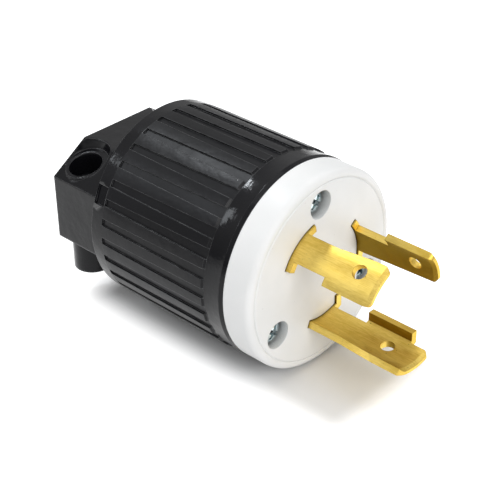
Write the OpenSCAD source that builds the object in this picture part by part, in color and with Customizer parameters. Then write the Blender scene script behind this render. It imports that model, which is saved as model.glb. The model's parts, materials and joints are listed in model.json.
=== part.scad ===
// Locking power plug: three curved blades, white front body, ribbed black grip shell and cord clamp.
// The plug's axis is X. The origin is the centre of the front face, and the blades point along +X.
// Angles about the axis are counter-clockwise from +Y, as seen from the blades.

/* [Grip shell] */
// Diameter over the grip ribs
grip_d = 50; // [48:0.5:54]
// Length from the parting line back to the rear rim
shell_len = 43.3; // [42:0.1:50]
// Wall under the grooves between the ribs
shell_wall = 2.55; // [2:0.05:2.8]
// Thickness of the rear wall
rear_wall = 2.6; // [2:0.1:4]
// Number of grip ribs
rib_count = 32; // [24:4:36]
// Height of the ribs above the grooves
rib_h = 0.5; // [0.4:0.05:0.9]
// Width of a groove at its front end
groove_front_w = 2.6; // [1.8:0.1:3]
// Width of a groove at its rear end
groove_rear_w = 1.75; // [1.2:0.05:2.2]
// Length of the smooth neck between the parting line and the ribs
neck_len = 5.9; // [4:0.1:8]
// Height of the lip above the neck
lip_h = 0.35; // [0.2:0.05:0.6]
// Length of the plain collar behind the grooves
collar_len = 4.4; // [3:0.1:6]
// Chamfer round the rear rim
rim_chamfer = 0.8; // [0.4:0.1:1.2]
// Angle of the middle of the shallow notch in the collar
notch_angle = 155; // [150:1:165]
// Width of that notch, in degrees
notch_span = 11; // [6:1:14]
// Depth of that notch below the collar
notch_depth = 0.6; // [0.3:0.1:1]
// Depth of the flat under the lowest ribs, on which the plug rests
rest_flat = 0.14; // [0.1:0.01:0.2]

/* [Cord clamp block] */
// Length of the block behind the rear rim
block_len = 17; // [15:0.5:20]
// Width over the block's sides
block_w = 42.6; // [42:0.1:44]
// Height over the block's top and bottom
block_h = 29.2; // [28:0.2:31]
// Width of the flat top and bottom
block_top_w = 21.8; // [18:0.2:24]
// Height of the top edge of the sides above the axis
side_up = 8; // [7:0.1:9]
// Depth of the bottom edge of the sides below the axis
side_down = 8.8; // [8:0.1:9.4]
// Wall of the block
block_wall = 2.4; // [2:0.1:2.8]
// Chamfer round the block's rear edge
block_chamfer = 0.8; // [0.3:0.1:1.2]
// Diameter of the passage for the cord
cord_d = 19; // [16:0.5:19]

/* [Clamp screws] */
// Distance of the clamp screws from the block's rear face
clamp_x = 6; // [6:0.1:7]
// Diameter of the screw wells
well_d = 8.2; // [7.6:0.1:8.6]
// Wall of the tubes round the wells, at the rim
well_wall = 0.8; // [0.6:0.1:1]
// Spread of the tubes below the rim, where they run into the block's sides
tube_flare = 0.95; // [0.6:0.05:1.1]
// Height of that spread
flare_h = 1.2; // [0.8:0.1:1.4]
// Spread of the mouth that is cut round the rim into the block's shoulder
mouth_spread = 1.4; // [1:0.1:1.8]
// Height of the well's rim above the axis, at the middle of the well
well_rim_z = 10.8; // [9:0.1:12]
// Rise of the rim towards the plug's middle, in millimetres for each millimetre
well_rim_slope = 0.29; // [0:0.01:0.6]
// Height of the screw head's seat above the axis
well_seat_z = 2.2; // [1.8:0.1:3]
// Thickness of the floor under the screw head
well_floor = 1.6; // [1.2:0.1:2]
// Diameter of the bosses under the block
boss_d = 9.6; // [8.6:0.1:11]
// Depth of the bosses' flat ends below the axis
boss_drop = 17.4; // [16.6:0.1:19]
// Floor of the bosses
boss_floor = 1.6; // [1.2:0.1:2.4]
// Diameter of the clamp screws
clamp_screw_d = 3.8; // [3.4:0.1:4]
// Diameter of the clamp screws' heads
clamp_head_d = 6.6; // [6:0.1:7]
// Height of the clamp screws' heads
clamp_head_h = 2.3; // [2:0.1:3]

/* [Cord clamp jaw] */
// Length of the jaw along the cord
jaw_len = 8; // [6:0.5:9]
// Depth of the jaw's ears below the axis, with the clamp open
jaw_drop = 3; // [2.8:0.1:3.4]
// Side of the square nuts in the ears
clamp_nut_w = 6; // [5.5:0.1:6.2]
// Thickness of those nuts
clamp_nut_t = 2.4; // [1.8:0.1:2.6]
// Nylon over the nuts
clamp_nut_cover = 1.8; // [1.4:0.1:2]
// Length of the clamp screws beyond their nuts
clamp_tip = 3; // [2:0.1:4]
// Height of the gripping ridges
ridge_h = 0.6; // [0.3:0.1:0.9]
// Width of a gripping ridge
ridge_w = 1; // [0.6:0.1:1.4]

/* [Front body] */
// Step from the grip ribs in to the front body
front_step = 0.4; // [0.2:0.05:1]
// Length from the parting line to the face
front_len = 7.7; // [7:0.1:9]
// Radius of the rounded edge of the face
edge_r = 1.5; // [0.8:0.1:2.2]
// Distance of the shallow ring in the face from the front body's side
face_ring_inset = 2.1; // [2:0.1:2.8]
// Width of that ring
face_ring_w = 0.6; // [0.4:0.1:1]
// Depth of that ring
face_ring_depth = 0.25; // [0.1:0.05:0.5]
// Thickness of the wall that the blades pass through
face_wall = 9; // [8.6:0.1:10]
// Length of the spigot that enters the shell
spigot_len = 4.8; // [4:0.1:6]
// Wall of the spigot
spigot_wall = 2; // [1.6:0.1:2.4]

/* [Blades] */
// Distance of the curved blades' outer faces from the spigot's side
blade_inset = 7.7; // [7.4:0.1:8]
// Thickness of the blades
blade_t = 1.7; // [1.4:0.05:1.8]
// Height above the face of the line blade's shoulder on the hook's side
shoulder_h = 1.3; // [0.8:0.1:2]
// Height of the other shoulders above the face
low_shoulder_h = 0.5; // [0.2:0.1:0.8]
// Distance from the face to the locking notches
notch_x = 10; // [9:0.1:11]
// Length over which a hook's free edge spreads
flare_run = 9; // [5:0.5:10]
// Reach of the line and neutral blades in front of the face
power_reach = 22.8; // [22:0.1:25]
// Reach of the ground blade in front of the face
ground_reach = 27.2; // [26:0.1:29]
// Distance from the holes to the tips of the line and neutral blades
power_hole_inset = 5.8; // [5.4:0.1:7.4]
// Distance from the hole to the tip of the ground blade
ground_hole_inset = 8.6; // [7:0.1:10]
// Diameter of the holes in the blades
blade_hole_d = 3.4; // [2.8:0.1:4]
// Radius of the corners at the tips
tip_r = 1.6; // [0.8:0.1:2.2]
// Length of the bevel at the tips
bevel_len = 1; // [0.4:0.1:1.6]
// Depth of the bevel at the tips
bevel_t = 0.45; // [0.2:0.05:0.6]
// Height of the ground blade's upright leg above the lower edge of its bend
leg_h = 3.2; // [2:0.1:4]
// Distance from the face to the end of the leg
leg_reach = 22.3; // [20:0.1:24]

/* [Terminals] */
// Length of the terminal tails behind the front body
tail_len = 14; // [13:0.1:16]
// Width of the terminal tails
tail_w = 9; // [8:0.1:9.6]
// Length of the retaining tabs behind the face
tab_len = 3; // [2:0.1:4]
// Width of the retaining tabs beyond the shoulders, in degrees
tab_span = 3; // [2:0.5:4]
// Gap for the wire between the tail and the clamp plate
wire_gap = 3; // [2:0.1:3.4]
// Thickness of the clamp plates
plate_t = 1.8; // [1.4:0.1:2]
// Width of the clamp plates
plate_w = 8; // [7.2:0.1:8.6]
// Diameter of the terminal screws
terminal_screw_d = 4; // [3.4:0.1:4.4]
// Diameter of the terminal screws' heads
terminal_head_d = 7.4; // [6.6:0.1:8]
// Height of the terminal screws' heads
terminal_head_h = 2.4; // [2:0.1:3]
// Length of the terminal screws beyond the clamp plates
terminal_tip = 0.8; // [0.4:0.1:1]

/* [Terminal carrier] */
// Thickness of the carrier's front disc
carrier_disc = 3; // [2.4:0.1:3.4]
// Length of the carrier from its front face to its rear
carrier_len = 17; // [16:0.1:19]
// Gap between the terminal screws' ends and the carrier's hub
hub_gap = 1.9; // [1.5:0.1:2.6]
// Thickness of the barrier walls between the terminals
barrier_t = 1.6; // [1.2:0.1:2]

/* [Assembly screws] */
// Distance of the assembly screws' middle lines from the spigot's side
screw_inset = 3.9; // [3.8:0.05:4.2]
// Angle of the first assembly screw
screw_angle = 93.5; // [91:0.5:95]
// Diameter of the wells for the screw heads
head_well_d = 6.8; // [6.4:0.1:7]
// Depth of the top of the screw heads below the face
head_depth = 3.4; // [2:0.1:4]
// Diameter of the screw heads
screw_head_d = 6; // [5.4:0.1:6.2]
// Height of the screw heads
screw_head_h = 2.2; // [1.8:0.1:2.6]
// Diameter of the assembly screws
screw_d = 3.5; // [3:0.1:3.6]
// Length of the assembly screws under the head
screw_len = 30; // [28:0.5:32]
// Diameter of the shell's pillars
pillar_d = 8.8; // [8.4:0.1:9.2]
// Distance from the front of a pillar to its nut
nut_depth = 2.4; // [2:0.1:3]
// Side of the square nuts in the pillars
nut_w = 6; // [5.6:0.1:6.4]
// Thickness of those nuts
nut_t = 2.6; // [2:0.1:3]

/* [Fits] */
// Gap round what slides or drops into place
fit_gap = 0.15; // [0.1:0.05:0.2]
// Gap between screw heads and threads and what they turn in
thread_gap = 0.03; // [0.02:0.01:0.05]
// Extra gap round the retaining tabs and tails in their pockets
pocket_gap = 0.35; // [0.3:0.05:0.5]
// Gap round a screw in a plain hole
screw_gap = 0.25; // [0.15:0.05:0.3]

/* [Hidden] */
$fn = 64;

cut = 0.5;  // how far a cutter runs past the face it opens
groove_phase = 90;  // angle of the middle of the first groove
slot_w = 1.1;  // width of the slots in the screw heads
slot_depth = 1;  // depth of the slots in the screw heads
lap = 0.1;  // how far a screw's shank runs into its head
skin = 0.05;  // keeps surfaces that would otherwise touch apart
collar_fall = 0.15;  // how far the collar lies below the ribs, so that the plug lies on its ribs
rib_slope = 1.5;  // length over which the ribs rise behind the collar
lip_len = 1;  // length of the lip before its chamfer
lip_chamfer = 0.35;  // chamfer of the lip at the parting line
spigot_chamfer = 0.4;  // chamfer of the spigot's rear edge
front_chamfer = 0.2;  // chamfer of the front body at the parting line
tail_drop = 0.3;  // how far the flat tails lie inside the crown of the curved sheet
bore_reach = 2;  // clear length beyond an assembly screw's end
relief_reach = 7;  // width of the cutters that shape the blades' edges
ridge_end = 25;  // angle of the ends of the gripping ridges from the sides

// Stations along the axis
parting_x = -front_len;
ribs_front_x = parting_x - neck_len;
rim_x = parting_x - shell_len;
ribs_rear_x = rim_x + collar_len;
floor_x = rim_x + rear_wall;
block_x = rim_x - block_len;
clamp_screw_x = block_x + clamp_x;
carrier_x = -face_wall;
carrier_rear_x = carrier_x - carrier_len;
tail_rear_x = carrier_x - tail_len;
terminal_x = tail_rear_x + plate_w / 2;
spigot_x = parting_x - spigot_len;

// Radii
grip_r = grip_d / 2;
groove_r = grip_r - rib_h;
collar_r = grip_r - collar_fall;
bore_r = groove_r - shell_wall;
spigot_r = bore_r - fit_gap;
front_r = grip_r - front_step;
face_ring_r = front_r - face_ring_inset;
screw_circle_r = spigot_r - screw_inset;
carrier_r = spigot_r - spigot_wall - fit_gap;
carrier_lug_r = spigot_r - screw_circle_r - fit_gap;
blade_ro = spigot_r - blade_inset;
blade_ri = blade_ro - blade_t;
tail_ro = blade_ro - tail_drop;
tail_ri = tail_ro - blade_t;
plate_ri = tail_ri - wire_gap - plate_t;
terminal_end_r = plate_ri - terminal_tip;
hub_r = terminal_end_r - hub_gap;
cord_r = cord_d / 2;

// Sideways place of the clamp screws: the well tubes run out just inside the block's sides
well_r = well_d / 2;
rim_r = well_r + well_wall;
tube_r = rim_r + tube_flare;
clamp_screw_y = block_w / 2 - tube_r - skin;

// Angles of the blades: [shoulder start, shoulder end, neck start, neck end, hook start, hook end]
LINE = [103.4, 153.9, 114.5, 143.5, 110.5, 151.5];
NEUTRAL = [-13, 37.3, -0.5, 28.5, 3.2, 41.5];
GROUND = [-109, -62, -109, -70.5, -113, -68.5];
LINE_HOLE = 126;
NEUTRAL_HOLE = 19;
GROUND_HOLE = -85.5;
LINE_TAIL = 128.6;
NEUTRAL_TAIL = 12.2;
GROUND_TAIL = -90;

// The ground blade's leg stands upright; its outer face meets the sheet's outer face in the bend
leg_y = blade_ro * cos(GROUND[1]);
leg_foot_z = blade_ro * sin(GROUND[1]) + skin;
leg_top_z = leg_foot_z + leg_h;

// ---- Shapes about the axis ----

// Children drawn along Z lie along the axis.
module along_x() { rotate([0, 90, 0]) children(); }

// Children whose outward direction is +Y are turned to an angle about the axis.
module at_angle(a) { rotate([a, 0, 0]) children(); }

// Turned solid; points are [radius, x].
module turned(points) { along_x() rotate_extrude() polygon(points); }

// Part of a turned solid, from angle a0 to a1.
module sector(points, a0, a1) {
    along_x() rotate([0, 0, a0 + 90]) rotate_extrude(angle = a1 - a0) polygon(points);
}

// Round bar along the axis.
module rod(r, x0, x1) { translate([x0, 0, 0]) along_x() cylinder(r = r, h = x1 - x0); }

// Prism along the axis; its children are an outline in Y and Z.
module prism(x0, x1) { translate([x0, 0, 0]) rotate([90, 0, 90]) linear_extrude(x1 - x0) children(); }

// Box given by its ranges.
module block(x, y, z) {
    translate([x[0], y[0], z[0]]) cube([x[1] - x[0], y[1] - y[0], z[1] - z[0]]);
}

// Upright round bar.
module post(r, z0, z1) { translate([0, 0, z0]) cylinder(r = r, h = z1 - z0); }

// ---- Rear shell ----

// Outline of the clamp block, moved in by a wall.
function octagon(w) =
    let (
        hw = block_w / 2, ht = block_top_w / 2, hh = block_h / 2,
        m_up = (hh - side_up) / (hw - ht), m_down = (hh - side_down) / (hw - ht),
        up = side_up + m_up * w - w * sqrt(1 + m_up * m_up),
        down = side_down + m_down * w - w * sqrt(1 + m_down * m_down),
        top = hw - (hh - w - side_up + w * sqrt(1 + m_up * m_up)) / m_up,
        bottom = hw - (hh - w - side_down + w * sqrt(1 + m_down * m_down)) / m_down
    )
    [
        [hw - w, up], [top, hh - w], [-top, hh - w], [w - hw, up],
        [w - hw, -down], [-bottom, w - hh], [bottom, w - hh], [hw - w, -down]
    ];

// Both clamp screws stand upright, one on each side of the cord.
module at_clamp_screws() {
    for (side = [-1, 1]) translate([clamp_screw_x, side * clamp_screw_y, 0]) children();
}

// Outer form of the grip: rear rim, collar, ribs, neck and the flared lip.
module grip() {
    lip_x = parting_x - lip_len;
    flare = [for (i = [0 : 6]) let (s = i / 6)
        [groove_r + lip_h * s * s, ribs_front_x + (lip_x - ribs_front_x) * s]];
    turned(concat(
        [[0, rim_x], [collar_r - rim_chamfer, rim_x], [collar_r, rim_x + rim_chamfer]],
        [[grip_r, ribs_rear_x + rib_slope]],
        [[grip_r, ribs_front_x - rib_h]],
        flare,
        [[groove_r + lip_h - lip_chamfer, parting_x], [0, parting_x]]
    ));
}

// Takes the crown off the lowest ribs, so that the plug lies still on a flat surface.
module rest_cut() {
    block([rim_x - cut, parting_x + cut], [-block_top_w, block_top_w] / 2,
        [-grip_r - cut, rest_flat - grip_r]);
}

// One groove between two ribs: it is wider at the front, and its floor is flush with the neck.
module groove() {
    front_x = ribs_front_x + lap;
    translate([0, groove_r, 0]) rotate([-90, 0, 0]) linear_extrude(rib_h + cut) polygon([
        [ribs_rear_x, -groove_rear_w / 2], [front_x, -groove_front_w / 2],
        [front_x, groove_front_w / 2], [ribs_rear_x, groove_rear_w / 2]
    ]);
}

// Shallow notch in the collar.
module collar_notch() {
    inner = collar_r - notch_depth;
    rear = rim_x + rim_chamfer;
    front = ribs_rear_x - rim_chamfer / 4;
    sector(
        [[inner, rear], [grip_r + cut, rear], [grip_r + cut, front], [inner, front]],
        notch_angle - notch_span / 2, notch_angle + notch_span / 2
    );
}

// Outer form of the clamp block, with its rear edge chamfered.
module clamp_block() {
    hull() {
        prism(block_x + block_chamfer, rim_x + cut) polygon(octagon(0));
        prism(block_x, block_x + block_chamfer) polygon(octagon(block_chamfer));
    }
}

// Tube round a screw well, with a hollow spread where it meets the block.
module well_tube() {
    spread = [for (t = [0 : 22.5 : 90])
        [tube_r - tube_flare * sin(t), side_up + flare_h * (1 - cos(t))]];
    rotate_extrude() polygon(concat(
        [[0, well_seat_z - well_floor], [tube_r, well_seat_z - well_floor]],
        spread,
        [[rim_r, block_h / 2 - skin], [0, block_h / 2 - skin]]
    ));
}

// Cuts the tube to its rim, which slopes up towards the middle of the plug, and opens the block round it.
module well_mouth(side) {
    z0 = side_up + flare_h - skin;
    intersection() {
        translate([0, 0, z0])
            cylinder(r1 = rim_r + skin, r2 = rim_r + mouth_spread, h = block_h / 2 - z0 + cut);
        translate([0, 0, well_rim_z]) rotate([-side * atan(well_rim_slope), 0, 0])
            block([-tube_r, tube_r] * 2, [-tube_r, tube_r] * 2, [0, block_h / 2]);
    }
}

// What the well takes out: the bore for the head and the hole for the shank.
module well_bore() {
    post(well_r, well_seat_z, block_h);
    post(clamp_screw_d / 2 + screw_gap, 0, well_seat_z + cut);
}

// Fixed half of the cord clamp: it fills the top of the block, with ridges that grip the cord.
module upper_saddle() {
    x0 = clamp_screw_x - jaw_len / 2;
    x1 = clamp_screw_x + jaw_len / 2;
    seat = well_seat_z - well_floor;
    difference() {
        intersection() {
            prism(x0, x1) polygon(octagon(block_wall / 2));
            block([x0, x1], [-block_w, block_w], [seat, block_h]);
        }
        rod(cord_r, x0 - cut, x1 + cut);
    }
    for (x = [x0, clamp_screw_x - ridge_w / 2, x1 - ridge_w]) sector(
        [[cord_r - ridge_h, x], [cord_r + cut, x],
         [cord_r + cut, x + ridge_w], [cord_r - ridge_h, x + ridge_w]],
        ridge_end, 180 - ridge_end
    );
}

// Pillar for an assembly screw, joined to the shell's wall.
module pillar() {
    translate([0, screw_circle_r, 0]) rod(pillar_d / 2, floor_x - cut, carrier_rear_x);
    intersection() {
        block([floor_x - cut, carrier_rear_x], [screw_circle_r, grip_r], [-pillar_d, pillar_d] / 2);
        rod(bore_r + shell_wall / 2, floor_x - cut, carrier_rear_x);
    }
}

// Bore for an assembly screw, and the slot that its nut slides into from the inside.
module pillar_bore() {
    nut_x = carrier_rear_x - nut_depth;
    reach = screw_len + head_depth + screw_head_h;
    translate([0, screw_circle_r, 0])
        rod(screw_d / 2 + screw_gap, -reach - bore_reach, carrier_rear_x + cut);
    block([nut_x - nut_t - fit_gap, nut_x],
        [screw_circle_r - pillar_d, screw_circle_r + nut_w / 2 + fit_gap],
        [-nut_w / 2 - fit_gap, nut_w / 2 + fit_gap]);
}

module at_assembly_screws() {
    for (k = [0 : 2]) at_angle(screw_angle + 120 * k) children();
}

module rear_shell() {
    color([0.05, 0.05, 0.055]) difference() {
        union() {
            difference() {
                union() {
                    difference() {
                        grip();
                        for (k = [0 : rib_count - 1]) at_angle(groove_phase + k * 360 / rib_count) groove();
                        collar_notch();
                        rest_cut();
                    }
                    clamp_block();
                    at_clamp_screws() post(boss_d / 2, -boss_drop, -side_down);
                }
                rod(bore_r, floor_x, parting_x + cut);
                prism(block_x - cut, rim_x) polygon(octagon(block_wall));
                rod(cord_r, rim_x - cut, floor_x + cut);
            }
            upper_saddle();
            at_clamp_screws() well_tube();
            at_assembly_screws() pillar();
        }
        for (side = [-1, 1]) translate([clamp_screw_x, side * clamp_screw_y, 0]) well_mouth(side);
        at_clamp_screws() well_bore();
        at_clamp_screws() post(clamp_screw_d / 2 + screw_gap, boss_floor - boss_drop, 0);
        at_assembly_screws() pillar_bore();
    }
}

// ---- Front body ----

// Blade slots in the front body: the blade's shoulder section with a gap all round.
module blade_slot(blade) {
    gap = asin(fit_gap / blade_ri);
    slot_ri = blade_ri - fit_gap;
    slot_ro = blade_ro + fit_gap;
    pocket_ri = slot_ri - pocket_gap;
    pocket_ro = slot_ro + pocket_gap;
    rear = -face_wall - cut;
    tab_x = tab_len - face_wall;
    sector([[slot_ri, rear], [slot_ro, rear], [slot_ro, cut], [slot_ri, cut]],
        blade[0] - gap, blade[1] + gap);
    sector([[pocket_ri, rear], [pocket_ro, rear], [pocket_ro, tab_x], [pocket_ri, tab_x]],
        blade[0] - tab_span - gap, blade[1] + tab_span + gap);
}

module front_body() {
    edge = [for (a = [0 : 15 : 90]) [front_r - edge_r + edge_r * cos(a), -edge_r + edge_r * sin(a)]];
    ring_in = face_ring_r - face_ring_w / 2;
    ring_out = face_ring_r + face_ring_w / 2;
    color([0.93, 0.93, 0.92]) difference() {
        turned(concat(
            [[0, -face_wall], [carrier_r + fit_gap, -face_wall], [carrier_r + fit_gap, spigot_x]],
            [[spigot_r - spigot_chamfer, spigot_x], [spigot_r, spigot_x + spigot_chamfer]],
            [[spigot_r, parting_x], [front_r - front_chamfer, parting_x]],
            [[front_r, parting_x + front_chamfer]],
            edge,
            [[ring_out, 0], [face_ring_r, -face_ring_depth], [ring_in, 0], [0, 0]]
        ));
        blade_slot(LINE);
        blade_slot(NEUTRAL);
        blade_slot(GROUND);
        leg_slot();
        at_assembly_screws() translate([0, screw_circle_r, 0]) {
            rod(head_well_d / 2, -head_depth - screw_head_h, cut);
            rod(screw_d / 2 + screw_gap, -face_wall - cut, 0);
        }
    }
}

// ---- Blades ----

// Curved strip with a bevelled tip, from which a blade's outline is cut.
module strip(reach, a0, a1) {
    sector([
        [blade_ri, -face_wall], [blade_ro, -face_wall], [blade_ro, reach - bevel_len],
        [blade_ro - bevel_t, reach], [blade_ri + bevel_t, reach], [blade_ri, reach - bevel_len]
    ], a0, a1);
}

// Takes away what lies beyond an edge at angle a, between two stations.
// side is 1 beyond a counter-clockwise edge and -1 beyond a clockwise one.
module relief(x0, x1, a, side) {
    at_angle(a) block([x0, x1], [blade_ri - relief_reach, blade_ro + cut],
        side > 0 ? [0, relief_reach] : [-relief_reach, 0]);
}

// Rounds a corner of a tip. The corner is at angle a, and side is 1 on its counter-clockwise edge.
module tip_corner(tip_x, a, side) {
    at_angle(a - side * tip_r / blade_ro * 180 / PI) translate([tip_x - tip_r, 0, 0]) difference() {
        block([0, tip_r + cut], [blade_ri - blade_t, blade_ro + cut],
            side > 0 ? [0, 2 * tip_r] : [-2 * tip_r, 0]);
        rotate([-90, 0, 0]) cylinder(r = tip_r, h = blade_ro + 2 * cut);
    }
}

// Slants a clockwise edge straight from angle a0 at one station to angle a1 at another.
module slant(x0, x1, a0, a1) {
    run = x1 - x0 + 1;
    shift = blade_ro * sin(a0 - a1) * run / (x1 - x0);
    at_angle(a0) translate([x0, 0, 0]) rotate([-90, 0, 0]) linear_extrude(blade_ro + cut)
        polygon([[0, skin], [run, shift], [run, relief_reach], [0, relief_reach]]);
}

// Flat tail that carries the terminal screw.
module tail(a) {
    at_angle(a) block([tail_rear_x, tab_len - face_wall - cut], [tail_ri, tail_ro], [-tail_w, tail_w] / 2);
}

module terminal_hole(a) {
    at_angle(a) translate([terminal_x, 0, 0]) rotate([-90, 0, 0])
        cylinder(d = terminal_screw_d + 2 * screw_gap, h = blade_ro + cut);
}

module blade_hole(a, x) {
    at_angle(a) translate([x, 0, 0]) rotate([-90, 0, 0]) cylinder(d = blade_hole_d, h = blade_ro + cut);
}

// Clockwise edge of a hook. It spreads from the notch on, or draws in from the shoulder on.
module hook_start(reach, neck, hook) {
    if (hook < neck) {
        slant(notch_x - cut, notch_x + flare_run, neck, hook);
        relief(notch_x - 1, reach + 1, hook, -1);
    } else {
        slant(low_shoulder_h + cut, reach, neck, hook);
    }
}

// Blade with shoulders, a narrower neck, a hook, retaining tabs and a terminal tail.
// hook_shoulder_h is the height of the shoulder on the hook's side.
module power_blade(blade, hook_shoulder_h, hole_a, tail_a) {
    neck_end_x = blade[4] < blade[2] ? notch_x : power_reach + 1;
    difference() {
        union() {
            strip(power_reach, blade[0] - tab_span, max(blade[1], blade[5]) + 2 * tab_span);
            tail(tail_a);
        }
        relief(-face_wall - cut, tab_len - face_wall + cut, blade[1] + tab_span, 1);
        relief(tab_len - face_wall, low_shoulder_h + 1, blade[0], -1);
        relief(tab_len - face_wall, hook_shoulder_h + 1, blade[1], 1);
        relief(low_shoulder_h, neck_end_x, blade[2], -1);
        relief(hook_shoulder_h, notch_x, blade[3], 1);
        relief(notch_x - 1, power_reach + 1, blade[5], 1);
        hook_start(power_reach, blade[2], blade[4]);
        tip_corner(power_reach, blade[5], 1);
        tip_corner(power_reach, blade[4], -1);
        blade_hole(hole_a, power_reach - power_hole_inset);
        terminal_hole(tail_a);
    }
}

// Slot in the front body for the ground blade's upright leg.
module leg_slot() {
    block([-face_wall - cut, cut], [leg_y - blade_t - fit_gap, leg_y + fit_gap],
        [leg_foot_z, leg_top_z + fit_gap]);
}

module ground_blade_solid() {
    difference() {
        union() {
            strip(ground_reach, GROUND[4], GROUND[1] + tab_span);
            block([cut - face_wall, leg_reach + cut], [leg_y - blade_t, leg_y + cut],
                [leg_foot_z, leg_top_z]);
            tail(GROUND_TAIL);
        }
        block([-face_wall - cut, ground_reach + cut], [leg_y, blade_ro], [-blade_ro, leg_top_z + cut]);
        relief(-face_wall - cut, tab_len - face_wall + cut, GROUND[0] - tab_span, -1);
        relief(tab_len - face_wall, notch_x, GROUND[0], -1);
        slant(notch_x - cut, notch_x + flare_run, GROUND[2], GROUND[4]);
        relief(low_shoulder_h, notch_x, GROUND[3], 1);
        relief(leg_reach, ground_reach + 1, GROUND[5], 1);
        tip_corner(ground_reach, GROUND[5], 1);
        tip_corner(ground_reach, GROUND[4], -1);
        blade_hole(GROUND_HOLE, ground_reach - ground_hole_inset);
        terminal_hole(GROUND_TAIL);
    }
}

module line_blade() {
    color([0.79, 0.62, 0.24]) power_blade(LINE, shoulder_h, LINE_HOLE, LINE_TAIL);
}

module neutral_blade() {
    color([0.79, 0.62, 0.24]) power_blade(NEUTRAL, low_shoulder_h, NEUTRAL_HOLE, NEUTRAL_TAIL);
}

module ground_blade() { color([0.79, 0.62, 0.24]) ground_blade_solid(); }

// ---- Terminals ----

// Tapped plate that the terminal screw draws out against the wire.
module clamp_plate(a) {
    at_angle(a) difference() {
        block([tail_rear_x, tail_rear_x + plate_w], [plate_ri, plate_ri + plate_t],
            [-plate_w, plate_w] / 2);
        translate([terminal_x, 0, 0]) rotate([-90, 0, 0])
            cylinder(d = terminal_screw_d + 2 * thread_gap, h = blade_ro);
    }
}

// Screw with a slotted head on the outside of the tail.
module terminal_screw(a) {
    top = tail_ro + terminal_head_h;
    at_angle(a) difference() {
        translate([terminal_x, 0, 0]) rotate([-90, 0, 0]) {
            translate([0, 0, tail_ro]) cylinder(d = terminal_head_d, h = terminal_head_h);
            translate([0, 0, terminal_end_r])
                cylinder(d = terminal_screw_d, h = tail_ro - terminal_end_r + lap);
        }
        block([terminal_x - terminal_head_d, terminal_x + terminal_head_d],
            [top - slot_depth, top + cut], [-slot_w, slot_w] / 2);
    }
}

module line_clamp_plate() { color([0.79, 0.62, 0.24]) clamp_plate(LINE_TAIL); }

module neutral_clamp_plate() { color([0.79, 0.62, 0.24]) clamp_plate(NEUTRAL_TAIL); }

module ground_clamp_plate() { color([0.79, 0.62, 0.24]) clamp_plate(GROUND_TAIL); }

module line_terminal_screw() { color([0.79, 0.62, 0.24]) terminal_screw(LINE_TAIL); }

module neutral_terminal_screw() { color([0.75, 0.76, 0.78]) terminal_screw(NEUTRAL_TAIL); }

module ground_terminal_screw() { color([0.2, 0.5, 0.25]) terminal_screw(GROUND_TAIL); }

// Moulding that holds the blades from behind and keeps the three terminals apart.
module terminal_carrier() {
    disc_rear = carrier_x - carrier_disc;
    clear_x = spigot_x - fit_gap;
    color([0.9, 0.9, 0.87]) difference() {
        union() {
            rod(carrier_r, disc_rear, carrier_x);
            rod(hub_r, carrier_rear_x, disc_rear + cut);
            at_assembly_screws() {
                block([carrier_rear_x + 1, disc_rear + cut], [hub_r - 1, screw_circle_r],
                    [-barrier_t, barrier_t] / 2);
                translate([0, screw_circle_r, 0]) rod(carrier_lug_r, carrier_rear_x, disc_rear + cut);
            }
        }
        turned([
            [carrier_r + skin, clear_x], [bore_r, clear_x], [bore_r, carrier_x], [carrier_r + skin, carrier_x]
        ]);
        for (a = [LINE_TAIL, NEUTRAL_TAIL, GROUND_TAIL]) at_angle(a)
            block([disc_rear - cut, carrier_x + cut], [tail_ri - fit_gap, tail_ro + fit_gap],
                [-tail_w / 2 - fit_gap, tail_w / 2 + fit_gap]);
        at_assembly_screws() translate([0, screw_circle_r, 0])
            rod(screw_d / 2 + screw_gap, carrier_rear_x - cut, carrier_x + cut);
    }
}

// ---- Fasteners ----

module assembly_screws() {
    seat_x = -head_depth - screw_head_h;
    color([0.7, 0.74, 0.8]) at_assembly_screws() translate([0, screw_circle_r, 0]) difference() {
        union() {
            rod(screw_head_d / 2, seat_x, -head_depth);
            rod(screw_d / 2, seat_x - screw_len, seat_x + lap);
        }
        block([-head_depth - slot_depth, -head_depth + cut], [-screw_head_d, screw_head_d],
            [-slot_w, slot_w] / 2);
    }
}

module assembly_nuts() {
    nut_x = carrier_rear_x - nut_depth;
    color([0.7, 0.72, 0.75]) at_assembly_screws() translate([0, screw_circle_r, 0]) difference() {
        block([nut_x - nut_t, nut_x], [-nut_w, nut_w] / 2, [-nut_w, nut_w] / 2);
        rod(screw_d / 2 + thread_gap, nut_x - nut_t - cut, nut_x + cut);
    }
}

module clamp_screws() {
    tip = -jaw_drop - clamp_nut_cover - clamp_nut_t - clamp_tip;
    color([0.7, 0.74, 0.8]) at_clamp_screws() difference() {
        union() {
            post(clamp_head_d / 2, well_seat_z, well_seat_z + clamp_head_h);
            post(clamp_screw_d / 2, tip, well_seat_z + lap);
        }
        block([-clamp_head_d, clamp_head_d], [-slot_w, slot_w] / 2,
            [well_seat_z + clamp_head_h - slot_depth, well_seat_z + clamp_head_h + cut]);
    }
}

module clamp_nuts() {
    top = -jaw_drop - clamp_nut_cover;
    color([0.7, 0.72, 0.75]) at_clamp_screws() difference() {
        block([-clamp_nut_w, clamp_nut_w] / 2, [-clamp_nut_w, clamp_nut_w] / 2,
            [top - clamp_nut_t, top]);
        post(clamp_screw_d / 2 + thread_gap, top - clamp_nut_t - cut, top + cut);
    }
}

// ---- Cord clamp jaw ----

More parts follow.
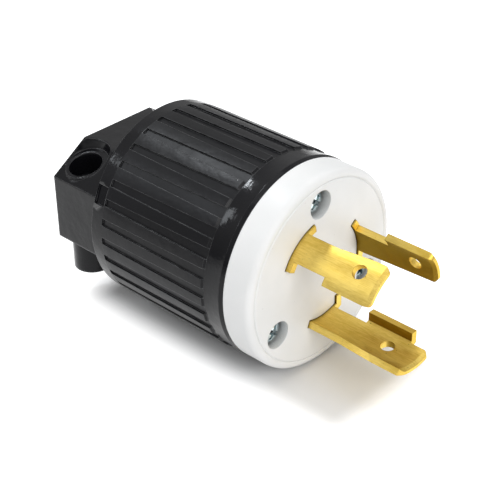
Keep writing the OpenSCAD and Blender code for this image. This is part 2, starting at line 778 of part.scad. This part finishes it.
// Lower half of the cord clamp, which the clamp screws draw up against the cord.
module cord_clamp_jaw() {
    x0 = clamp_screw_x - jaw_len / 2;
    x1 = clamp_screw_x + jaw_len / 2;
    nut_half = clamp_nut_w / 2 + fit_gap;
    color([0.05, 0.05, 0.055]) difference() {
        union() {
            difference() {
                intersection() {
                    prism(x0, x1) polygon(octagon(block_wall + fit_gap));
                    block([x0, x1], [-block_w, block_w], [-block_h, -jaw_drop]);
                }
                rod(cord_r, x0 - cut, x1 + cut);
            }
            for (x = [x0, clamp_screw_x - ridge_w / 2, x1 - ridge_w]) sector(
                [[cord_r - ridge_h, x], [cord_r + cut, x],
                 [cord_r + cut, x + ridge_w], [cord_r - ridge_h, x + ridge_w]],
                180 + ridge_end, 360 - ridge_end
            );
        }
        at_clamp_screws() {
            post(clamp_screw_d / 2 + screw_gap, -block_h, 0);
            block([-nut_half, nut_half], [-nut_half, nut_half], [-block_h, -jaw_drop - clamp_nut_cover]);
        }
    }
}

rear_shell();
front_body();
terminal_carrier();
line_blade();
neutral_blade();
ground_blade();
line_clamp_plate();
neutral_clamp_plate();
ground_clamp_plate();
line_terminal_screw();
neutral_terminal_screw();
ground_terminal_screw();
assembly_screws();
assembly_nuts();
cord_clamp_jaw();
clamp_screws();
clamp_nuts();
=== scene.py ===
"""Looks of a locking power plug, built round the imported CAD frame.

Metres, in the CAD frame: +X runs out along the blades, +Z is up, and the origin is in the
middle of the white face.
"""

import json
import math

import bmesh
import bpy
from mathutils import Matrix, Vector

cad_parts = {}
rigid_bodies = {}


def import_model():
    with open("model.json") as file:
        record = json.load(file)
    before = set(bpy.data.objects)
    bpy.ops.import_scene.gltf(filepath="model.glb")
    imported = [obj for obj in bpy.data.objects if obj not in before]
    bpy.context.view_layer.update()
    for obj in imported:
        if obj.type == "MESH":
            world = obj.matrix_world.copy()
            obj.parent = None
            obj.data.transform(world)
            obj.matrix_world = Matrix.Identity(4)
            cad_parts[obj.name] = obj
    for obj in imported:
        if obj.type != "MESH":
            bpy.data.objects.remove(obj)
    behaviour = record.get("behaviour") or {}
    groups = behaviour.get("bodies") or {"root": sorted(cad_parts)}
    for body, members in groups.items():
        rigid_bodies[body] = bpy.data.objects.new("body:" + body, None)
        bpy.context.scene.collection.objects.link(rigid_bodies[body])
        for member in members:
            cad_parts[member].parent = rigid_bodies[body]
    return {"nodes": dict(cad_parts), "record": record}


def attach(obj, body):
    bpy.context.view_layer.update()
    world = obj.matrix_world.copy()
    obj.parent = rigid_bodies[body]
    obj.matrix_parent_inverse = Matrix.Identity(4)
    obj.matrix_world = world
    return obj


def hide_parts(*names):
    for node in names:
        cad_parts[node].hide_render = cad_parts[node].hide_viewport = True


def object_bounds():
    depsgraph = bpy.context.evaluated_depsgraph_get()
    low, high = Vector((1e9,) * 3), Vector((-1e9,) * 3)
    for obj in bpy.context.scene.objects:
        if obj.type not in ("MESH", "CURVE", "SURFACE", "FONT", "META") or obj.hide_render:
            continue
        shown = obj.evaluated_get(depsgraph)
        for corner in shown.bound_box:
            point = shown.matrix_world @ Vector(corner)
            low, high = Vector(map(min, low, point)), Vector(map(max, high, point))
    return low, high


MM = 0.001

# ---- Frame ----

for stray in list(bpy.data.objects):
    bpy.data.objects.remove(stray)
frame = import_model()
CAD_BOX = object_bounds()
NODES = frame["nodes"]
FLOOR_Z = CAD_BOX[0][2]

# ---- Camera at the photograph's viewing angle ----

CAMERA_AT = Vector((0.162066, -0.196784, 0.168502))
CAMERA_FORWARD = Vector((-0.576065, 0.614707, -0.538781))
CAMERA_UP = Vector((-0.362597, 0.398563, 0.842419))
SENSOR = 36.0
FOCAL = 2.69914 * SENSOR
NEAREST, FARTHEST = 0.01, 20.0


def add_camera():
    data = bpy.data.cameras.new("camera")
    data.sensor_width = SENSOR
    data.lens = FOCAL
    data.clip_start = NEAREST
    data.clip_end = FARTHEST
    camera = bpy.data.objects.new("camera", data)
    bpy.context.scene.collection.objects.link(camera)
    back = -CAMERA_FORWARD.normalized()
    right = CAMERA_UP.cross(back).normalized()
    up = back.cross(right)
    turn = Matrix((right, up, back)).transposed().to_4x4()
    camera.matrix_world = Matrix.Translation(CAMERA_AT) @ turn
    bpy.context.scene.camera = camera


# ---- Small node-graph helpers ----

# Ambient occlusion where a place counts as open, and where it counts as deep.
OPEN_AO, DEEP_AO = 0.75, 0.20


class Graph:
    """A node tree with short calls for the nodes that the materials share."""

    def __init__(self, tree):
        self.tree = tree
        tree.nodes.clear()

    def node(self, kind, **settings):
        made = self.tree.nodes.new(kind)
        for key, value in settings.items():
            setattr(made, key, value)
        return made

    def link(self, output, socket):
        self.tree.links.new(output, socket)

    def put(self, value, socket):
        """Sets a plain value, or links a node's output."""
        if isinstance(value, bpy.types.NodeSocket):
            self.link(value, socket)
        else:
            socket.default_value = value

    def math(self, operation, a, b):
        made = self.node("ShaderNodeMath", operation=operation)
        self.put(a, made.inputs[0])
        self.put(b, made.inputs[1])
        return made.outputs[0]

    def mix(self, factor, a, b):
        """A blend of two colours. A Mix node shows only the sockets of its data type."""
        made = self.node("ShaderNodeMix", data_type="RGBA")
        shown = [socket for socket in made.inputs if socket.enabled]
        for value, socket in zip((factor, a, b), shown):
            self.put(value, socket)
        return next(socket for socket in made.outputs if socket.enabled)

    def span(self, value, low, high, to_low=0.0, to_high=1.0):
        """Takes low to high smoothly over to to_low to to_high, and holds the ends outside."""
        made = self.node("ShaderNodeMapRange", interpolation_type="SMOOTHSTEP")
        self.put(value, made.inputs["Value"])
        ends = {"From Min": low, "From Max": high, "To Min": to_low, "To Max": to_high}
        for name, number in ends.items():
            made.inputs[name].default_value = number
        return made.outputs["Result"]

    def place(self, stretch=(1.0, 1.0, 1.0)):
        """Object coordinates in metres, stretched along each axis."""
        coords = self.node("ShaderNodeTexCoord")
        scaled = self.node("ShaderNodeVectorMath", operation="MULTIPLY")
        self.link(coords.outputs["Object"], scaled.inputs[0])
        scaled.inputs[1].default_value = stretch
        return scaled.outputs[0]

    def axis(self, number):
        """One object coordinate in metres."""
        parts = self.node("ShaderNodeSeparateXYZ")
        self.link(self.place(), parts.inputs[0])
        return parts.outputs[number]

    def between(self, value, low, high, soft):
        """1 from low to high and 0 outside."""
        rising = self.span(value, low - soft, low)
        falling = self.span(value, high + soft, high)
        return self.math("MULTIPLY", rising, falling)

    def off_axis(self):
        """Distance from the plug's axis in metres."""
        made = self.node("ShaderNodeVectorMath", operation="LENGTH")
        self.link(self.place((0.0, 1.0, 1.0)), made.inputs[0])
        return made.outputs["Value"]

    def facing(self, direction):
        """How far the surface faces a direction of the frame, from -1 to 1."""
        true = self.node("ShaderNodeNewGeometry")
        dot = self.node("ShaderNodeVectorMath", operation="DOT_PRODUCT")
        self.link(true.outputs["Normal"], dot.inputs[0])
        dot.inputs[1].default_value = direction
        return dot.outputs["Value"]

    def noise(self, where, scale, detail=3.0, rough=0.5, distortion=0.0):
        made = self.node("ShaderNodeTexNoise")
        self.link(where, made.inputs["Vector"])
        made.inputs["Scale"].default_value = scale
        made.inputs["Detail"].default_value = detail
        made.inputs["Roughness"].default_value = rough
        made.inputs["Distortion"].default_value = distortion
        return made.outputs["Fac"]

    def specks(self, where, scale, size, share):
        """Round specks: one cell in share holds one, of that size within its cell."""
        cells = self.node("ShaderNodeTexVoronoi")
        self.link(where, cells.inputs["Vector"])
        cells.inputs["Scale"].default_value = scale
        pick = self.node("ShaderNodeSeparateColor")
        self.link(cells.outputs["Color"], pick.inputs[0])
        chosen = self.span(pick.outputs[0], 1.0 - share, 1.0 - share * 0.9)
        near = self.span(cells.outputs["Distance"], size, size * 0.5)
        return self.math("MULTIPLY", chosen, near)

    def bump(self, height, distance, normal):
        made = self.node("ShaderNodeBump")
        self.link(height, made.inputs["Height"])
        made.inputs["Distance"].default_value = distance
        self.link(normal, made.inputs["Normal"])
        return made.outputs["Normal"]

    def rounded(self, radius):
        """Normal rounded over the edges, as a moulded or tumbled piece has."""
        made = self.node("ShaderNodeBevel", samples=6)
        self.put(radius, made.inputs["Radius"])
        return made.outputs["Normal"]

    def edges(self, rounded_normal, low, high):
        """1 on an edge and 0 on a flat, from how far the rounded normal leans."""
        true = self.node("ShaderNodeNewGeometry")
        dot = self.node("ShaderNodeVectorMath", operation="DOT_PRODUCT")
        self.link(rounded_normal, dot.inputs[0])
        self.link(true.outputs["Normal"], dot.inputs[1])
        lean = self.math("SUBTRACT", 1.0, dot.outputs["Value"])
        return self.span(lean, low, high)

    def recess(self, reach):
        """0 in the open and 1 deep in a well or a corner, from what lies within reach."""
        made = self.node("ShaderNodeAmbientOcclusion", samples=8)
        made.inputs["Distance"].default_value = reach
        return self.span(made.outputs["AO"], OPEN_AO, DEEP_AO)


def surface(name, metallic=0.0, **sockets):
    """A material with its graph and Principled shader."""
    made = bpy.data.materials.new(name)
    made.use_nodes = True
    graph = Graph(made.node_tree)
    shader = graph.node("ShaderNodeBsdfPrincipled")
    output = graph.node("ShaderNodeOutputMaterial")
    graph.link(shader.outputs[0], output.inputs["Surface"])
    shader.inputs["Metallic"].default_value = metallic
    for key, value in sockets.items():
        shader.inputs[key.replace("_", " ")].default_value = value
    return made, graph, shader


def rgb(red, green, blue):
    return (red, green, blue, 1.0)


# ---- Materials ----

# The ends and the outer radius of the shell's ribbed zone, and the rim behind it.
RIBS_FRONT = -13.6 * MM
RIBS_REAR = -46.6 * MM
RIBS_R = 24.75 * MM
RIM = -51.0 * MM


def black_nylon():
    """Moulded shell: glossy rims, satin ribs, edges rubbed pale with a painted highlight along
    them, and a little dust.
    """
    made, g, shader = surface("black_nylon_looks", Specular_IOR_Level=0.19)
    where = g.place()
    along = g.axis(0)
    flow = g.noise(g.place((0.35, 1.0, 1.0)), 90.0, 3.0)
    tint = g.mix(g.span(flow, 0.3, 0.7), rgb(0.004, 0.004, 0.005), rgb(0.007, 0.007, 0.0085))
    soft = g.rounded(g.span(along, RIM - 0.5 * MM, RIM, 0.8 * MM, 0.25 * MM))
    # Pale edges: partly rubbed wear, partly a painted highlight along the edges and the lip.
    open_edge = g.math("SUBTRACT", 1.0, g.recess(0.7 * MM))
    worn_and_highlit = g.math("MULTIPLY", g.edges(g.rounded(0.20 * MM), 0.006, 0.09), open_edge)
    patch = g.span(g.noise(where, 260.0, 4.0), 0.36, 0.60, 0.30, 1.0)
    rubbed_and_highlit = g.math("MULTIPLY", g.math("MULTIPLY", worn_and_highlit, patch), 0.75)
    tint = g.mix(rubbed_and_highlit, tint, rgb(0.150, 0.151, 0.156))
    dust = g.specks(where, 260.0, 0.040, 0.035)
    tint = g.mix(dust, tint, rgb(0.42, 0.42, 0.42))
    g.link(tint, shader.inputs["Base Color"])
    ribbed = g.between(along, RIBS_REAR, RIBS_FRONT, 0.3 * MM)
    tops = g.span(g.off_axis(), RIBS_R - 0.1 * MM, RIBS_R, 0.24, 0.20)
    smear = g.span(g.noise(g.place((0.25, 1.0, 1.0)), 140.0, 5.0, 0.6), 0.30, 0.72, 0.10, 0.17)
    g.link(g.math("ADD", smear, g.math("MULTIPLY", ribbed, tops)), shader.inputs["Roughness"])
    waves = g.bump(g.noise(where, 150.0, 3.0), 0.20 * MM, soft)
    grain = g.bump(g.noise(where, 1800.0, 2.0, 0.6), 0.012 * MM, waves)
    g.link(grain, shader.inputs["Normal"])
    return made


def white_nylon():
    """Moulded face: a faint cloud, painted shade deep in the wells and a few dull specks."""
    made, g, shader = surface("white_nylon_looks")
    where = g.place()
    cloud = g.noise(where, 70.0, 4.0)
    tint = g.mix(g.span(cloud, 0.3, 0.7), rgb(0.79, 0.795, 0.79), rgb(0.84, 0.84, 0.835))
    # Painted shade: grey where the surface lies deep in a well or a corner.
    tint = g.mix(g.recess(5.0 * MM), tint, rgb(0.34, 0.35, 0.345))
    speck = g.specks(where, 330.0, 0.05, 0.05)
    tint = g.mix(g.math("MULTIPLY", speck, 0.5), tint, rgb(0.45, 0.42, 0.38))
    g.link(tint, shader.inputs["Base Color"])
    g.link(g.span(g.noise(where, 160.0, 4.0), 0.3, 0.7, 0.38, 0.50), shader.inputs["Roughness"])
    soft = g.rounded(0.30 * MM)
    waves = g.bump(g.noise(where, 120.0, 2.0), 0.12 * MM, soft)
    grain = g.bump(g.noise(where, 1900.0, 2.0, 0.6), 0.008 * MM, waves)
    g.link(grain, shader.inputs["Normal"])
    return made


def ivory_nylon():
    """Natural nylon of the hidden carrier."""
    made, g, shader = surface("ivory_nylon_looks")
    where = g.place()
    cloud = g.noise(where, 80.0, 4.0)
    tint = g.mix(g.span(cloud, 0.3, 0.7), rgb(0.72, 0.69, 0.60), rgb(0.79, 0.76, 0.68))
    g.link(tint, shader.inputs["Base Color"])
    g.link(g.span(g.noise(where, 150.0, 4.0), 0.3, 0.7, 0.42, 0.56), shader.inputs["Roughness"])
    grain = g.bump(g.noise(where, 1700.0, 2.0, 0.6), 0.010 * MM, g.rounded(0.20 * MM))
    g.link(grain, shader.inputs["Normal"])
    return made


def metal(name, dark, light, rough, edge):
    """Plated or turned metal: fine grain, a cloudy tone and painted shade in the recesses."""
    made, g, shader = surface(name, 1.0)
    where = g.place()
    cloud = g.span(g.noise(where, 210.0, 5.0, 0.62), 0.32, 0.68)
    grain = g.noise(where, 1500.0, 4.0, 0.65)
    tone = g.math("MULTIPLY", g.math("ADD", cloud, grain), 0.5)
    tint = g.mix(g.span(tone, 0.28, 0.72), dark, light)
    # Painted shade: a darker copy of the metal's dark tone, deep in the head's recesses.
    recess_shade = tuple(0.15 * part for part in dark[:3]) + (1.0,)
    tint = g.mix(g.math("MULTIPLY", g.recess(0.8 * MM), 0.80), tint, recess_shade)
    g.link(tint, shader.inputs["Base Color"])
    spread = g.math("ADD", g.math("MULTIPLY", cloud, 0.10), g.math("MULTIPLY", grain, 0.10))
    g.link(g.math("ADD", spread, rough - 0.10), shader.inputs["Roughness"])
    dents = g.bump(g.noise(where, 240.0, 2.0), 0.05 * MM, g.rounded(edge))
    g.link(g.bump(grain, 0.010 * MM, dents), shader.inputs["Normal"])
    return made


def brass():
    """Rolled strip: fine lines along the blades, dark sheared edges, pits, painted shade in
    corners, and painted shade on the sides that face -Y of the blades that stand at +Y."""
    made, g, shader = surface("brass_looks", 1.0, Specular_Tint=rgb(0.95, 0.82, 0.52))
    where = g.place()
    hair = g.noise(g.place((0.04, 1.0, 1.0)), 5200.0, 3.0, 0.6)
    short = g.noise(g.place((0.25, 1.0, 1.0)), 2400.0, 3.0, 0.6)
    cloud = g.noise(g.place((0.5, 1.0, 1.0)), 130.0, 3.0)
    tone = g.math("ADD", g.math("MULTIPLY", hair, 0.28), g.math("MULTIPLY", short, 0.27))
    tone = g.math("ADD", tone, g.math("MULTIPLY", cloud, 0.45))
    tint = g.mix(g.span(tone, 0.28, 0.72), rgb(0.60, 0.390, 0.052), rgb(0.95, 0.725, 0.205))
    stain = g.span(g.noise(where, 620.0, 6.0, 0.75, 0.4), 0.60, 0.73)
    tint = g.mix(g.math("MULTIPLY", stain, 0.45), tint, rgb(0.24, 0.14, 0.02))
    pits = g.specks(where, 900.0, 0.16, 0.09)
    tint = g.mix(g.math("MULTIPLY", pits, 0.8), tint, rgb(0.10, 0.06, 0.01))
    sheared = g.math("MULTIPLY", g.edges(g.rounded(0.16 * MM), 0.01, 0.2), 0.62)
    tint = g.mix(sheared, tint, rgb(0.22, 0.14, 0.02))
    # Painted shade: faces that turn to -Y, on the blades at +Y, darkened to brown.
    faces_shaded_side = g.span(g.facing((0.0, -1.0, 0.0)), 0.55, 0.85)
    shaded_side = g.math("MULTIPLY", faces_shaded_side, g.span(g.axis(1), 0.0, 3.0 * MM))
    tint = g.mix(g.math("MULTIPLY", shaded_side, 0.85), tint, rgb(0.190, 0.112, 0.006))
    # Painted shade: dark brown where the brass lies deep in a corner or near other parts.
    tint = g.mix(g.math("MULTIPLY", g.recess(2.2 * MM), 0.8), tint, rgb(0.06, 0.032, 0.004))
    g.link(tint, shader.inputs["Base Color"])
    g.link(g.span(short, 0.3, 0.7, 0.34, 0.46), shader.inputs["Roughness"])
    waves = g.bump(g.noise(where, 200.0, 2.0), 0.05 * MM, g.rounded(0.14 * MM))
    g.link(g.bump(hair, 0.005 * MM, waves), shader.inputs["Normal"])
    return made


LOOKS = {
    "black_nylon": black_nylon(),
    "white_nylon": white_nylon(),
    "ivory_nylon": ivory_nylon(),
    "brass": brass(),
    "brass_screw": metal(
        "brass_screw_looks", rgb(0.62, 0.43, 0.12), rgb(0.84, 0.65, 0.24), 0.30, 0.12 * MM
    ),
    "nickel_screw": metal(
        "nickel_screw_looks", rgb(0.58, 0.56, 0.52), rgb(0.76, 0.74, 0.70), 0.28, 0.12 * MM
    ),
    "green_screw": metal(
        "green_screw_looks", rgb(0.06, 0.24, 0.10), rgb(0.10, 0.36, 0.16), 0.36, 0.12 * MM
    ),
    "zinc": metal(
        "zinc_looks", rgb(0.44, 0.53, 0.56), rgb(0.74, 0.82, 0.84), 0.18, 0.08 * MM
    ),
}
SLOTS = [m["slot"] for m in frame["record"]["materials"]]


def dress_cad():
    """Gives every CAD node the looks of its own material slots."""
    for name, obj in NODES.items():
        for index, held in enumerate(obj.material_slots):
            slot = held.material.name if held.material.name in LOOKS else SLOTS[index]
            held.material = LOOKS[slot]


# ---- Screws: rolled threads and combination heads in place of the CAD's plain ones ----

COLUMNS = 40
ROWS_PER_TURN = 6
# A thread's depth over its pitch, the end's chamfer, where the thread starts behind the end, and
# the bare neck under the head.
THREAD_DEPTH = 0.61
END_CHAMFER = 0.25 * MM
THREAD_FROM = 0.3 * MM
NECK = 1.2 * MM
# Widths and depths of the slot and the cross, the cross's length over the head's radius, and how
# far the walls lean and reach above the head.
SLOT_W = 1.1 * MM
SLOT_DEEP = 1.35 * MM
CROSS_W = 0.95 * MM
CROSS_DEEP = 1.9 * MM
CROSS_LONG = 1.24
WALL_LEAN = 0.16
CUT_OVER = 0.5 * MM
# Height of the head's dome, its rows, and the angle from which its edges stay sharp.
CROWN = 1.35 * MM
CROWN_ROWS = 12
SHARP = math.radians(32)
# The pitch and the slots' angles in degrees, on the face's screws and on the clamp's. The photo
# shows the heads in the face nearer to it than the CAD's, by the rise.
FACE_PITCH = 0.6 * MM
FACE_SLOTS = (-37.0, -33.0, 20.0)
FACE_RISE = 2.1 * MM
CLAMP_PITCH = 0.7 * MM
CLAMP_SLOTS = (25.0, 70.0)
UP = Vector((0.0, 0.0, 1.0))


def solids_of(name):
    """Corners in metres of each separate solid of a CAD node."""
    mesh = bmesh.new()
    mesh.from_mesh(NODES[name].data)
    mesh.transform(NODES[name].matrix_world)
    bmesh.ops.remove_doubles(mesh, verts=mesh.verts, dist=0.001 * MM)
    left = set(mesh.verts)
    found = []
    for seed in mesh.verts:
        if seed not in left:
            continue
        left.remove(seed)
        part = front = [seed]
        while front:
            near = {
                edge.other_vert(corner) for corner in front for edge in corner.link_edges
            } & left
            left -= near
            front = list(near)
            part = part + front
        found.append([corner.co.copy() for corner in part])
    mesh.free()
    return found


class ScrewSize:
    """Where a plain CAD screw stands, and its sizes along and across its axis."""

    def __init__(self, corners, turn):
        local = [turn.transposed() @ corner for corner in corners]
        low = [min(corner[k] for corner in local) for k in range(3)]
        high = [max(corner[k] for corner in local) for k in range(3)]
        middle = Vector(((low[0] + high[0]) / 2, (low[1] + high[1]) / 2, 0.0))
        self.tip, self.top = low[2], high[2]
        reach = [((corner - middle).xy.length, corner.z) for corner in local]
        self.head_r = max(r for r, z in reach)
        self.shank_r = max(r for r, z in reach if z < self.tip + 0.01 * MM)
        self.seat = min(z for r, z in reach if r > 1.1 * self.shank_r)
        self.place = Matrix.Translation(turn @ middle) @ turn.to_4x4()


def thread_rows(size, pitch):
    """(height, radius, share of the full thread) from the tip up to the head's seat."""
    core = size.shank_r - THREAD_DEPTH * pitch
    thread_top = size.seat - NECK
    rows = [(size.tip, 0.86 * core, 0.0), (size.tip + END_CHAMFER, core, 0.0)]
    count = round((thread_top - size.tip) / pitch * ROWS_PER_TURN)
    for k in range(count):
        z = size.tip + THREAD_FROM + (thread_top - size.tip - THREAD_FROM) * k / count
        share = min(1.0, (z - size.tip) / pitch, (thread_top - z) / pitch)
        rows.append((z, core, share))
    neck = core + 0.5 * (size.shank_r - core)
    fillet = 0.15 * MM
    rows += [(thread_top, neck, 0.0), (size.seat - fillet, neck, 0.0)]
    return rows + [(size.seat, neck + fillet, 0.0)]


def head_rows(size):
    """(height, radius, no thread) round a round head: a short straight side and a domed crown."""
    chamfer = 0.1 * MM
    rows = [(size.seat, size.head_r - chamfer, 0.0), (size.seat + chamfer, size.head_r, 0.0)]
    for k in range(CROWN_ROWS):
        a = math.radians(90.0 * k / CROWN_ROWS)
        rows.append((size.top - CROWN * (1 - math.sin(a)), size.head_r * math.cos(a), 0.0))
    return rows


def turned_screw(size, pitch):
    """Closed mesh of a threaded screw about its own axis, before its recess is cut."""
    depth = THREAD_DEPTH * pitch
    mesh = bmesh.new()
    rings = []
    for z, radius, share in thread_rows(size, pitch) + head_rows(size):
        ring = []
        for k in range(COLUMNS):
            turn = k / COLUMNS
            along = (z / pitch - turn) % 1.0
            # Flat root, slanted flanks and flat crest.
            ridge = max(0.0, min(1.0, 1.25 - 2.5 * abs(along - 0.5)))
            r = radius + share * depth * ridge
            angle = 2 * math.pi * turn
            ring.append(mesh.verts.new((r * math.cos(angle), r * math.sin(angle), z)))
        rings.append(ring)
    for low, high in zip(rings, rings[1:]):
        for k in range(COLUMNS):
            after = (k + 1) % COLUMNS
            mesh.faces.new((low[k], low[after], high[after], high[k]))
    for ring, z in ((rings[0][::-1], size.tip), (rings[-1], size.top)):
        pole = mesh.verts.new((0.0, 0.0, z))
        for k in range(COLUMNS):
            mesh.faces.new((ring[k], ring[(k + 1) % COLUMNS], pole))
    return mesh


def wedge(top, deep, length, width):
    """Closed bar with leaning walls that cuts one arm of a recess."""
    mesh = bmesh.new()
    corners = []
    for height in (-deep, CUT_OVER):
        half_l = length / 2 + WALL_LEAN * height
        half_w = width / 2 + WALL_LEAN * height
        spots = ((-half_l, -half_w), (half_l, -half_w), (half_l, half_w), (-half_l, half_w))
        corners.append([mesh.verts.new((x, y, top + height)) for x, y in spots])
    low, high = corners
    mesh.faces.new(low[::-1])
    mesh.faces.new(high)
    for k in range(4):
        after = (k + 1) % 4
        mesh.faces.new((low[k], low[after], high[after], high[k]))
    return mesh


def as_object(name, mesh):
    data = bpy.data.meshes.new(name)
    mesh.to_mesh(data)
    mesh.free()
    made = bpy.data.objects.new(name, data)
    bpy.context.scene.collection.objects.link(made)
    return made


def cut_by(body, cutter):
    """Takes the cutter's solid out of the body's mesh, and the cutter out of the scene."""
    trim = body.modifiers.new("trim", "BOOLEAN")
    trim.operation, trim.solver, trim.object = "DIFFERENCE", "EXACT", cutter
    bpy.context.view_layer.update()
    trimmed = body.evaluated_get(bpy.context.evaluated_depsgraph_get())
    done = bpy.data.meshes.new_from_object(trimmed)
    body.modifiers.clear()
    body.data = done
    bpy.data.objects.remove(cutter)


def screw_set(name, node, turn, pitch, slot_angles, looks, rise=0.0):
    """One piece with a finished screw at each of the node's screws, taller by the rise."""
    sizes = [ScrewSize(corners, turn) for corners in solids_of(node)]
    for size in sizes:
        size.top += rise
    one = as_object(name + "_one", turned_screw(sizes[0], pitch))
    slot_long, cross_long = 2.4 * sizes[0].head_r, CROSS_LONG * sizes[0].head_r
    arms = (
        (SLOT_DEEP, slot_long, SLOT_W),
        (CROSS_DEEP, CROSS_W, cross_long),
        (CROSS_DEEP, cross_long, CROSS_W),
    )
    for arm in arms:
        cut_by(one, as_object("cutter", wedge(sizes[0].top, *arm)))
    whole = bmesh.new()
    for size, angle in zip(sizes, slot_angles):
        spot = one.data.copy()
        spot.transform(size.place @ Matrix.Rotation(math.radians(angle), 4, UP))
        whole.from_mesh(spot)
        bpy.data.meshes.remove(spot)
    bpy.data.objects.remove(one)
    made = as_object(name, whole)
    made.data.materials.clear()
    made.data.materials.append(LOOKS[looks])
    made.data.shade_smooth()
    made.data.set_sharp_from_angle(angle=SHARP)
    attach(made, "root")
    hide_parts(node)


def add_screws():
    along_x = Matrix(((0.0, 0.0, 1.0), (1.0, 0.0, 0.0), (0.0, 1.0, 0.0)))
    upright = Matrix.Identity(3)
    screw_set(
        "assembly_screws_threaded", "assembly_screws",
        along_x, FACE_PITCH, FACE_SLOTS, "zinc", FACE_RISE,
    )
    screw_set(
        "clamp_screws_threaded", "clamp_screws",
        upright, CLAMP_PITCH, CLAMP_SLOTS, "zinc",
    )


# ---- Stage ----

FLOOR_HALF = 3.0
FLOOR_PALE = 0.80
# The floor that is seen turns pure white over this range, away from the object.
WHITE_FROM, WHITE_AT = 0.15, 0.45
# Nearer, it is lifted by the glow, which starts that far inside the edge of the object's box.
FLOOR_GLOW = 0.7
GLOW_INSET = 12.0 * MM
GLOW_REACH = 10.0 * MM


def outside_box(g):
    """Distance in metres along the floor from the core of the object's box, 0 under it."""
    low, high = (Vector(corner) for corner in CAD_BOX)
    middle = (low + high) / 2
    half = (high - low) / 2 - Vector((GLOW_INSET, GLOW_INSET, 0.0))
    steps = (
        ("SUBTRACT", middle),
        ("ABSOLUTE", None),
        ("SUBTRACT", half),
        ("MAXIMUM", Vector((0.0, 0.0, 0.0))),
    )
    where = g.place((1.0, 1.0, 0.0))
    for operation, value in steps:
        made = g.node("ShaderNodeVectorMath", operation=operation)
        g.link(where, made.inputs[0])
        if value is not None:
            made.inputs[1].default_value = (value.x, value.y, 0.0)
        where = made.outputs[0]
    made = g.node("ShaderNodeVectorMath", operation="LENGTH")
    g.link(where, made.inputs[0])
    return made.outputs["Value"]


def add_floor():
    """A wide pale floor: white to the camera far out, and with the object's shadow near it."""
    data = bpy.data.meshes.new("floor")
    signs = ((-1, -1), (1, -1), (1, 1), (-1, 1))
    corners = [(x * FLOOR_HALF, y * FLOOR_HALF, FLOOR_Z) for x, y in signs]
    data.from_pydata(corners, [], [(0, 1, 2, 3)])
    floor = bpy.data.objects.new("floor", data)
    bpy.context.scene.collection.objects.link(floor)
    made = bpy.data.materials.new("floor_looks")
    made.use_nodes = True
    g = Graph(made.node_tree)
    path = g.node("ShaderNodeLightPath")
    seen = g.math("MAXIMUM", path.outputs["Is Camera Ray"], path.outputs["Is Glossy Ray"])
    seen = g.math("MAXIMUM", seen, path.outputs["Is Transmission Ray"])
    away = outside_box(g)
    far = g.math("MULTIPLY", seen, g.span(away, WHITE_FROM, WHITE_AT))
    matte = g.node("ShaderNodeBsdfDiffuse")
    pale = rgb(FLOOR_PALE, FLOOR_PALE, FLOOR_PALE)
    g.link(g.mix(far, pale, rgb(0.0, 0.0, 0.0)), matte.inputs["Color"])
    glow = g.node("ShaderNodeEmission")
    glow.inputs["Color"].default_value = rgb(1.0, 1.0, 1.0)
    near_glow = g.math("MULTIPLY", seen, g.span(away, 0.0, GLOW_REACH, 0.0, FLOOR_GLOW))
    g.link(g.math("MAXIMUM", near_glow, far), glow.inputs["Strength"])
    both = g.node("ShaderNodeAddShader")
    g.link(matte.outputs[0], both.inputs[0])
    g.link(glow.outputs[0], both.inputs[1])
    output = g.node("ShaderNodeOutputMaterial")
    g.link(both.outputs[0], output.inputs["Surface"])
    data.materials.append(made)


# Strength of the room's light below and above, and the heights of a direction between which
# it rises.
ROOM_LOW, ROOM_HIGH = 0.32, 0.7
DIM_BELOW, BRIGHT_ABOVE = -0.05, 0.5


def add_world():
    """White to the camera; to the object, a dim room that is brighter overhead."""
    world = bpy.data.worlds.new("studio")
    bpy.context.scene.world = world
    world.use_nodes = True
    g = Graph(world.node_tree)
    path = g.node("ShaderNodeLightPath")
    coords = g.node("ShaderNodeTexCoord")
    axes = g.node("ShaderNodeSeparateXYZ")
    g.link(coords.outputs["Generated"], axes.inputs[0])
    room = g.span(axes.outputs[2], DIM_BELOW, BRIGHT_ABOVE, ROOM_LOW, ROOM_HIGH)
    strength = g.math("MAXIMUM", path.outputs["Is Camera Ray"], room)
    sky = g.node("ShaderNodeBackground")
    sky.inputs["Color"].default_value = rgb(1.0, 1.0, 1.0)
    g.link(strength, sky.inputs["Strength"])
    output = g.node("ShaderNodeOutputWorld")
    g.link(sky.outputs[0], output.inputs["Surface"])


NEUTRAL, COOL = (1.0, 1.0, 1.0), (0.90, 0.95, 1.0)
SHELL, FACE = (-0.03, 0.0, 0.0), (0.0, 0.0, 0.0)
# Name, place, size, watts, aim and colour of each soft box.
LAMPS = (
    ("overhead", (0.05, 0.05, 0.80), (0.60, 0.60), 0.8, SHELL, NEUTRAL),
    ("back_box", (-0.60, 0.03, 0.82), (0.13, 0.09), 1.8, SHELL, COOL),
    ("left_box", (-0.55, -0.46, 0.52), (0.22, 0.12), 0.6, SHELL, COOL),
    ("front_box", (0.75, -0.25, 0.50), (0.50, 0.50), 3.4, FACE, NEUTRAL),
)


def add_lamp(name, at, size, watts, aim, colour):
    data = bpy.data.lights.new(name, "AREA")
    data.shape = "RECTANGLE"
    data.size, data.size_y = size
    data.energy = watts
    data.color = colour
    lamp = bpy.data.objects.new(name, data)
    bpy.context.scene.collection.objects.link(lamp)
    at = Vector(at)
    turn = (Vector(aim) - at).to_track_quat("-Z", "Y").to_matrix().to_4x4()
    lamp.matrix_world = Matrix.Translation(at) @ turn


def add_lamps():
    for lamp in LAMPS:
        add_lamp(*lamp)


dress_cad()
add_screws()
add_floor()
add_world()
add_lamps()
add_camera()
bpy.context.scene.view_settings.view_transform = "Standard"
